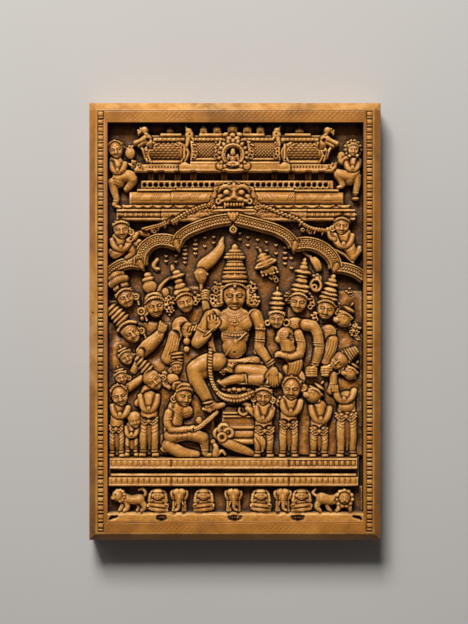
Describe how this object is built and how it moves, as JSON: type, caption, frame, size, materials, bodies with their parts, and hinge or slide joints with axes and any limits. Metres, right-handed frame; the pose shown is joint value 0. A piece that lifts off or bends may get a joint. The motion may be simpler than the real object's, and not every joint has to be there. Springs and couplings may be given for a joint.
{
  "type": "carved relief panel",
  "caption": "Small framed relief panel carved from one block: a seated figure among attendants under a cusped arch, with a temple roof above and an animal frieze below.",
  "frame": {"origin": "centre of the flat back, which the panel lies on", "axes": "+X to the viewer's right, +Y towards the top of the carved scene, +Z out of the relief"},
  "size_m": [0.1, 0.15, 0.015],
  "materials": {
    "carved_block": "old ivory-like carving, waxed, golden brown on the high places and dark brown in the hollows"
  },
  "bodies": {
    "root": {"relief_panel": "carved_block"}
  },
  "joints": []
}
